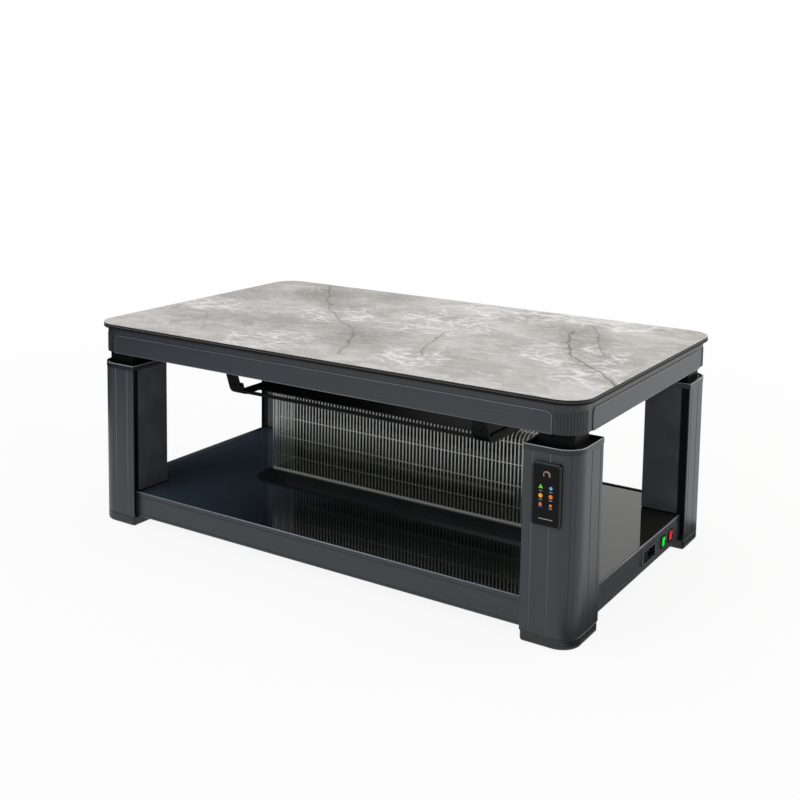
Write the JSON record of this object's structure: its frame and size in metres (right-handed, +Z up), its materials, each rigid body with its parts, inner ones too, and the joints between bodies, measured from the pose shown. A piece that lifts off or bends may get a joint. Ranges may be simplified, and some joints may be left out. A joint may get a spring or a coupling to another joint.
{
  "type": "lift-top electric heating table",
  "caption": "Low rectangular heating table with a stone top that rises on telescoping square legs, a wire-caged heater on a glass shelf, a touch panel, a mains inlet and rocker switches.",
  "frame": {"origin": "on the floor, under the middle of the table top", "axes": "+X along the table's length towards the end with the inlet and the rockers, -Y towards the long side whose right leg carries the control panel, +Z up"},
  "size_m": [1.3, 0.8, 0.506],
  "materials": {
    "stone": "polished stone look, opaque",
    "board": "dark sealed board",
    "graphite_aluminium": "fine matt anodised, graphite grey",
    "graphite_plastic": "matt graphite",
    "black_aluminium": "matt black anodised",
    "dark_sheet": "matt dark grey",
    "black_steel": "matt black powder coat",
    "pan_aluminium": "matt dark sheet",
    "screw_steel": "bright",
    "black_glass": "polished, opaque black",
    "black_plastic": "satin black",
    "gloss_black": "gloss black",
    "wire_steel": "bright plated wire",
    "quartz": "milky quartz tube",
    "pin_brass": "plain",
    "rocker_green": "translucent green",
    "rocker_red": "translucent red"
  },
  "bodies": {
    "base": {"leg_shell_front_left": "graphite_aluminium", "leg_shell_front_right": "graphite_aluminium", "leg_shell_back_left": "graphite_aluminium", "leg_shell_back_right": "graphite_aluminium", "leg_cover_front_left": "dark_sheet", "leg_cover_front_right": "dark_sheet", "leg_cover_back_left": "dark_sheet", "leg_cover_back_right": "dark_sheet", "leg_channel_front_left": "black_aluminium", "leg_channel_front_right": "black_aluminium", "leg_channel_back_left": "black_aluminium", "leg_channel_back_right": "black_aluminium", "leg_cap_front_left": "graphite_aluminium", "leg_cap_front_right": "graphite_aluminium", "leg_cap_back_left": "graphite_aluminium", "leg_cap_back_right": "graphite_aluminium", "foot_front_left": "graphite_plastic", "foot_front_right": "graphite_plastic", "foot_back_left": "graphite_plastic", "foot_back_right": "graphite_plastic", "cap_screws": "screw_steel", "lower_rail_front": "graphite_aluminium", "lower_rail_back": "graphite_aluminium", "lower_rail_left": "graphite_aluminium", "lower_rail_right": "graphite_aluminium", "shelf_board": "board", "shelf_glass": "black_glass", "control_box": "black_plastic", "heater_plinth": "black_plastic", "heater_core": "dark_sheet", "heater_rods": "quartz", "heater_cage": "wire_steel", "lift_motors": "black_steel", "inlet_body": "black_plastic", "inlet_pins": "pin_brass", "rocker_bezels": "black_plastic", "panel_housing": "gloss_black", "panel_screen": "gloss_black"},
    "lift": {"stone_slab": "stone", "backing_board": "board", "apron_rail_front": "graphite_aluminium", "apron_rail_back": "graphite_aluminium", "apron_rail_left": "graphite_aluminium", "apron_rail_right": "graphite_aluminium", "corner_block_front_left": "graphite_plastic", "corner_block_front_right": "graphite_plastic", "corner_block_back_left": "graphite_plastic", "corner_block_back_right": "graphite_plastic", "underside_pan": "pan_aluminium", "lift_column_front_left": "black_aluminium", "lift_column_front_right": "black_aluminium", "lift_column_back_left": "black_aluminium", "lift_column_back_right": "black_aluminium", "lift_rods": "screw_steel", "guard_straps": "black_steel", "guard_bar": "black_steel", "guard_screws": "screw_steel", "heat_shield": "black_steel"},
    "rocker_green": {"rocker_green": "rocker_green"},
    "rocker_red": {"rocker_red": "rocker_red"}
  },
  "joints": [
    {"name": "lift", "type": "slide", "parent": "base", "child": "lift", "axis": [0, 0, 1], "range_m": [0, 0.24]},
    {"name": "green_rocker", "type": "hinge", "parent": "base", "child": "rocker_green", "pos_m": [0.624, 0.15, 0.055], "axis": [0, -1, 0], "range_deg": [0, 16]},
    {"name": "red_rocker", "type": "hinge", "parent": "base", "child": "rocker_red", "pos_m": [0.624, 0.198, 0.055], "axis": [0, -1, 0], "range_deg": [0, 16]}
  ]
}
